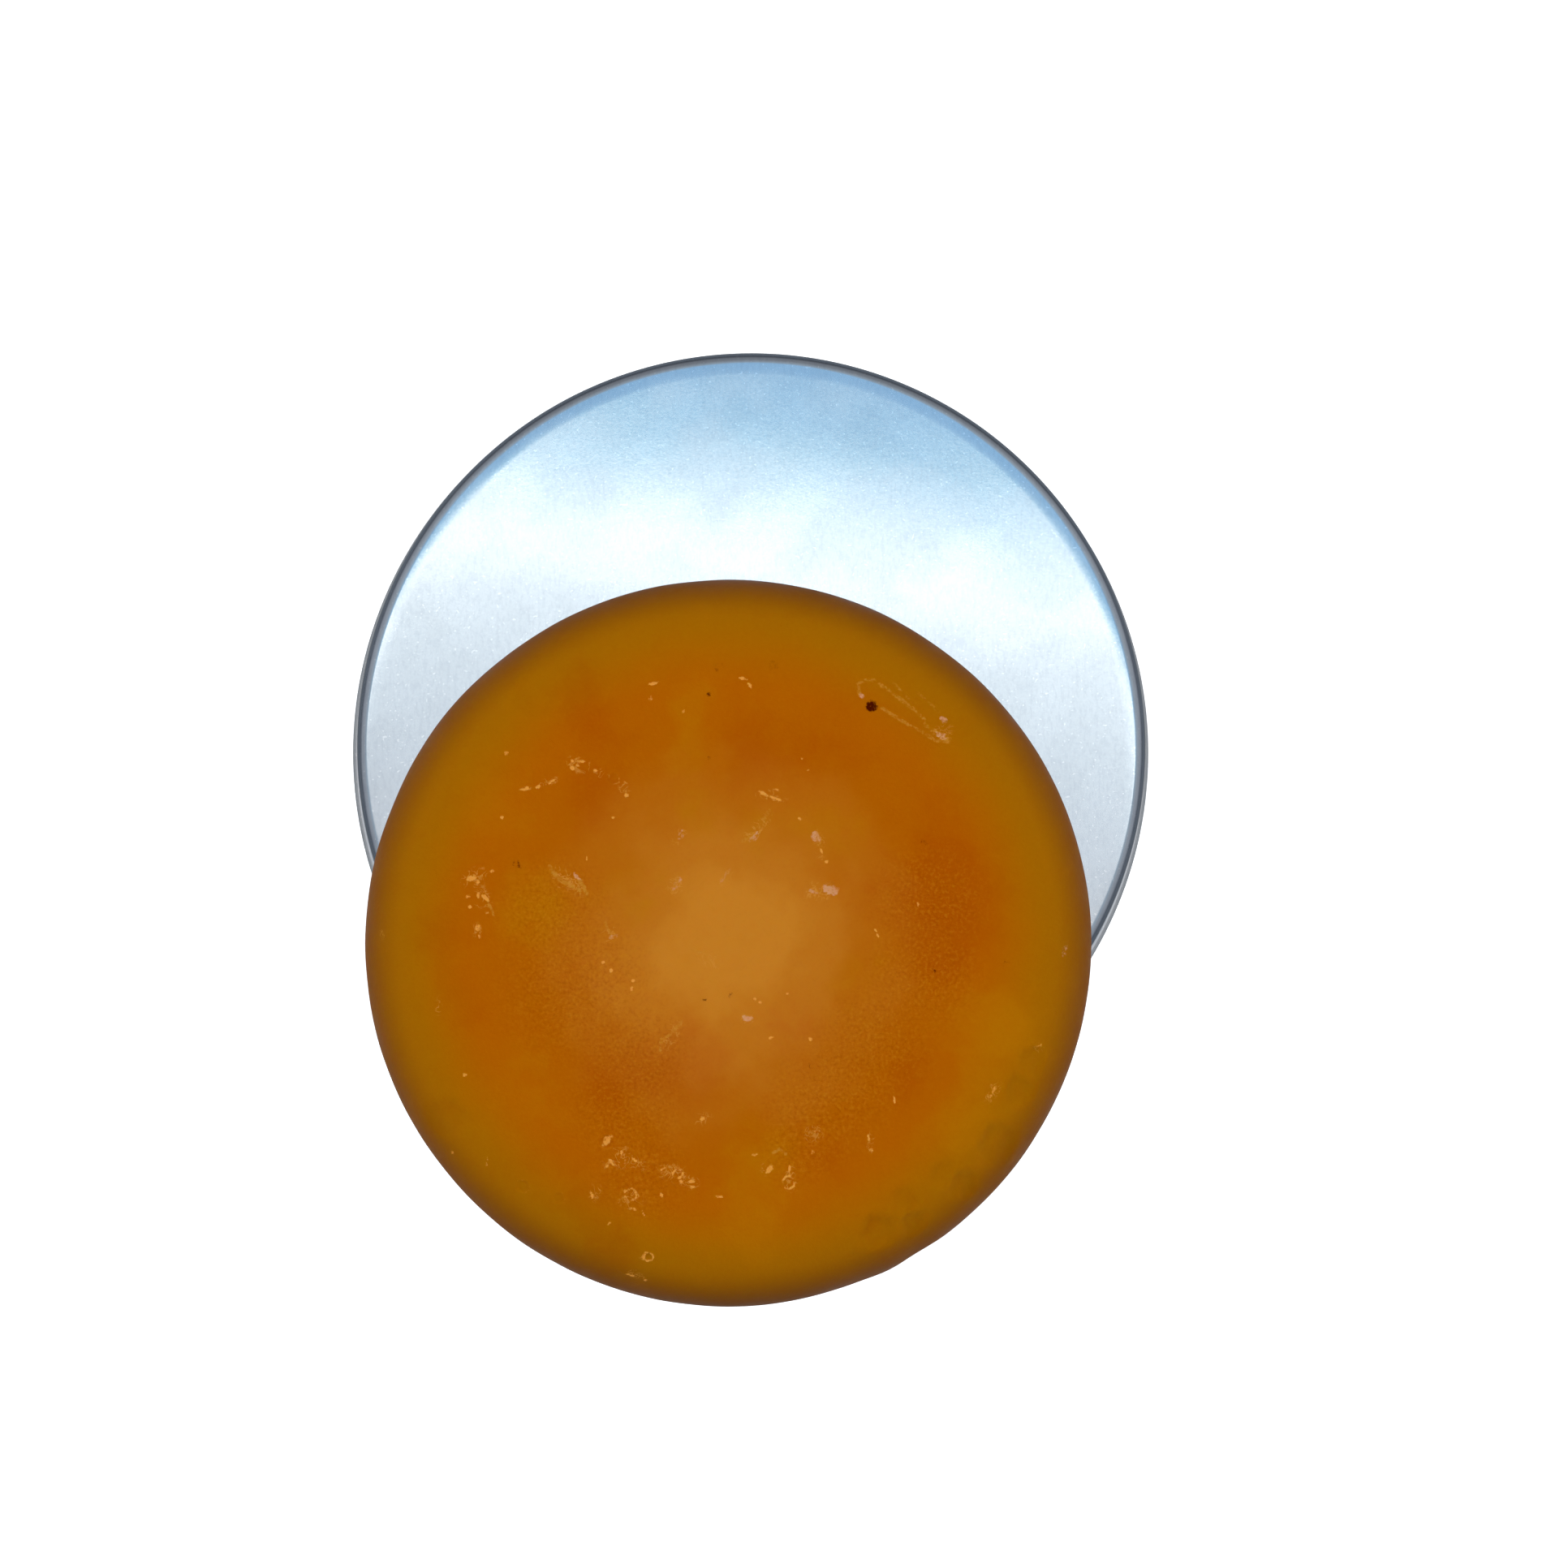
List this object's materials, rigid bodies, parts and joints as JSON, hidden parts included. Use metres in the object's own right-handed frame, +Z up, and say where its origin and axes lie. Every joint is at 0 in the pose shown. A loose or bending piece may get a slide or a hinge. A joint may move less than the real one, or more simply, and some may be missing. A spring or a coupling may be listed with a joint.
{
  "type": "shaving soap puck with screw-top tin",
  "caption": "Round amber glycerin shaving soap puck lying on the flat lid of a closed satin aluminium screw-top tin with a foam liner inside the lid.",
  "frame": {"origin": "centre of the tin's flat bottom, on the tin's axis", "axes": "+Z up along the tin's axis, -Y towards the side where the puck overhangs the tin, +X to the right of someone looking along +Y"},
  "size_m": [0.0864, 0.0999, 0.0503],
  "materials": {
    "satin_aluminium": "satin",
    "liner_foam": "matte",
    "glycerin_soap": "satin"
  },
  "bodies": {
    "base": {"tin_base": "satin_aluminium"},
    "liner": {"lid_liner": "liner_foam"},
    "lid": {"tin_lid": "satin_aluminium"},
    "puck": {"soap_puck": "glycerin_soap"}
  },
  "joints": [
    {"name": "lid_rise", "type": "slide", "parent": "base", "child": "liner", "axis": [0, 0, 1], "range_m": [0, 0.0038]},
    {"name": "lid_turn", "type": "hinge", "parent": "liner", "child": "lid", "pos_m": [0, 0, 0.028], "axis": [0, 0, 1], "range_deg": [0, 450]},
    {"name": "puck_lift", "type": "slide", "parent": "lid", "child": "puck", "axis": [0, 0, 1], "range_m": [0, 0.04]}
  ],
  "couplings": [
    {"joint": "lid_rise", "follows": "lid_turn", "m_per_rad": 0.00047746}
  ]
}
